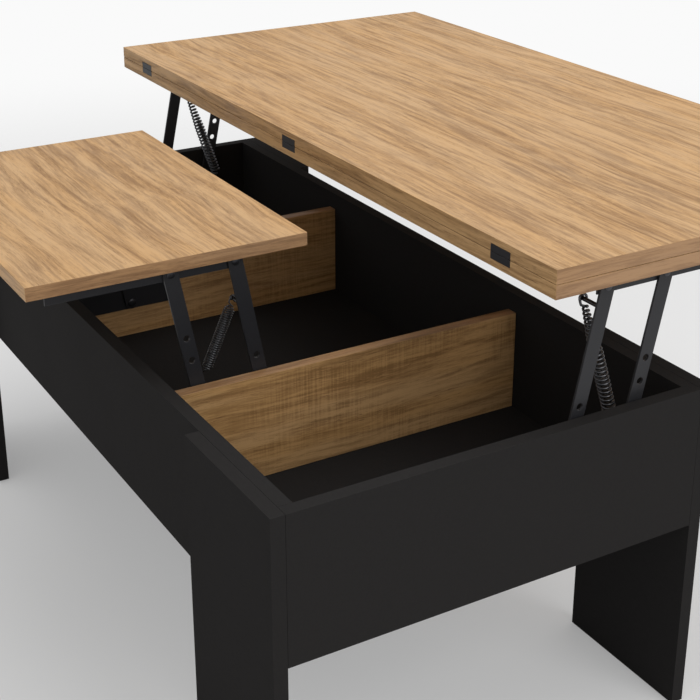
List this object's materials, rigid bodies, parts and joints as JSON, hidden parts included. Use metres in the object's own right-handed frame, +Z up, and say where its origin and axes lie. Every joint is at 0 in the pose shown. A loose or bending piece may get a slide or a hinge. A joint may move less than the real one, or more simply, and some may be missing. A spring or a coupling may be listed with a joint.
{
  "type": "lift top coffee table",
  "caption": "Storage coffee table with a folding top and an inner lid that rise to opposite sides on sprung parallel arms; black case on corner plank legs.",
  "frame": {"origin": "on the floor, under the middle of the opened table's bounding box", "axes": "+X along the table towards its front end, +Y towards the side that the big top rises over, +Z up"},
  "size_m": [1.116, 0.9854, 0.6045],
  "materials": {
    "black_board": "matt black melamine-faced board with matching edge band, fine pearl texture",
    "oak_board": "golden oak decor board, brown grain streaks and pores, matching edge band",
    "black_steel": "black powder-coated flat steel, semi-matt",
    "spring_steel": "blackened spring wire with bright worn crowns",
    "rivet_steel": "black zinc rivet, slight shine",
    "glide_felt": "black nailed-on glide strip"
  },
  "bodies": {
    "case": {"front_end_panel": "black_board", "rear_end_panel": "black_board", "left_side_panel": "black_board", "right_side_panel": "black_board", "bottom_panel": "black_board", "front_divider": "oak_board", "rear_divider": "oak_board", "leg_front_left": "black_board", "leg_front_right": "black_board", "leg_rear_left": "black_board", "leg_rear_right": "black_board", "glide_front_left": "glide_felt", "glide_front_right": "glide_felt", "glide_rear_left": "glide_felt", "glide_rear_right": "glide_felt", "big_front_base_plate": "black_steel", "big_rear_base_plate": "black_steel", "small_front_base_plate": "black_steel", "small_rear_base_plate": "black_steel", "big_front_outer_base_rivet": "rivet_steel", "big_front_inner_base_rivet": "rivet_steel", "big_rear_outer_base_rivet": "rivet_steel", "big_rear_inner_base_rivet": "rivet_steel", "small_front_outer_base_rivet": "rivet_steel", "small_front_inner_base_rivet": "rivet_steel", "small_rear_outer_base_rivet": "rivet_steel", "small_rear_inner_base_rivet": "rivet_steel"},
    "big_outer_arms": {"big_front_outer_arm": "black_steel", "big_rear_outer_arm": "black_steel"},
    "big_inner_arms": {"big_front_inner_arm": "black_steel", "big_rear_inner_arm": "black_steel"},
    "big_springs": {"big_front_spring": "spring_steel", "big_rear_spring": "spring_steel"},
    "big_top": {"lower_leaf": "oak_board", "hinge_front_lower": "black_steel", "hinge_middle_lower": "black_steel", "hinge_rear_lower": "black_steel", "big_front_top_rail": "black_steel", "big_rear_top_rail": "black_steel", "big_front_outer_top_rivet": "rivet_steel", "big_front_inner_top_rivet": "rivet_steel", "big_rear_outer_top_rivet": "rivet_steel", "big_rear_inner_top_rivet": "rivet_steel"},
    "folding_leaf": {"upper_leaf": "oak_board", "hinge_front_upper": "black_steel", "hinge_middle_upper": "black_steel", "hinge_rear_upper": "black_steel"},
    "small_outer_arms": {"small_front_outer_arm": "black_steel", "small_rear_outer_arm": "black_steel"},
    "small_inner_arms": {"small_front_inner_arm": "black_steel", "small_rear_inner_arm": "black_steel"},
    "small_springs": {"small_front_spring": "spring_steel", "small_rear_spring": "spring_steel"},
    "small_top": {"small_lid": "oak_board", "small_front_top_rail": "black_steel", "small_rear_top_rail": "black_steel", "small_front_outer_top_rivet": "rivet_steel", "small_front_inner_top_rivet": "rivet_steel", "small_rear_outer_top_rivet": "rivet_steel", "small_rear_inner_top_rivet": "rivet_steel"}
  },
  "joints": [
    {"name": "big_lift", "type": "hinge", "parent": "case", "child": "big_outer_arms", "pos_m": [0, 0.04408, 0.276], "axis": [1, 0, 0], "range_deg": [0, 74.55]},
    {"name": "big_inner_arm_turn", "type": "hinge", "parent": "case", "child": "big_inner_arms", "pos_m": [0, -0.03492, 0.276], "axis": [1, 0, 0], "range_deg": [0, 75.55]},
    {"name": "big_top_level", "type": "hinge", "parent": "big_outer_arms", "child": "big_top", "pos_m": [0, 0.10539, 0.562], "axis": [1, 0, 0], "range_deg": [-75.55, 0]},
    {"name": "big_spring_swing", "type": "hinge", "parent": "case", "child": "big_springs", "pos_m": [0, 0.08828, 0.335], "axis": [1, 0, 0], "range_deg": [0, 62.52], "deforming": ["big_front_spring", "big_rear_spring"]},
    {"name": "leaf_unfold", "type": "hinge", "parent": "big_top", "child": "folding_leaf", "pos_m": [0, -0.05958, 0.58825], "axis": [1, 0, 0], "range_deg": [0, 180]},
    {"name": "small_lift", "type": "hinge", "parent": "case", "child": "small_outer_arms", "pos_m": [0, -0.28092, 0.317], "axis": [1, 0, 0], "range_deg": [-83.52, 0]},
    {"name": "small_inner_arm_turn", "type": "hinge", "parent": "case", "child": "small_inner_arms", "pos_m": [0, -0.20192, 0.317], "axis": [1, 0, 0], "range_deg": [-83.52, 0]},
    {"name": "small_top_level", "type": "hinge", "parent": "small_outer_arms", "child": "small_top", "pos_m": [0, -0.32309, 0.53598], "axis": [1, 0, 0], "range_deg": [0, 83.52]},
    {"name": "small_spring_swing", "type": "hinge", "parent": "case", "child": "small_springs", "pos_m": [0, -0.29972, 0.33], "axis": [1, 0, 0], "range_deg": [-57.87, 0], "deforming": ["small_front_spring", "small_rear_spring"]}
  ],
  "couplings": [
    {"joint": "big_inner_arm_turn", "follows": "big_lift", "ratio": 1},
    {"joint": "big_top_level", "follows": "big_lift", "ratio": -1},
    {"joint": "big_spring_swing", "follows": "big_lift", "ratio": 0.82532},
    {"joint": "small_lift", "follows": "big_lift", "ratio": -1.107},
    {"joint": "small_inner_arm_turn", "follows": "big_lift", "ratio": -1.107},
    {"joint": "small_top_level", "follows": "big_lift", "ratio": 1.107},
    {"joint": "small_spring_swing", "follows": "big_lift", "ratio": -0.76286}
  ]
}
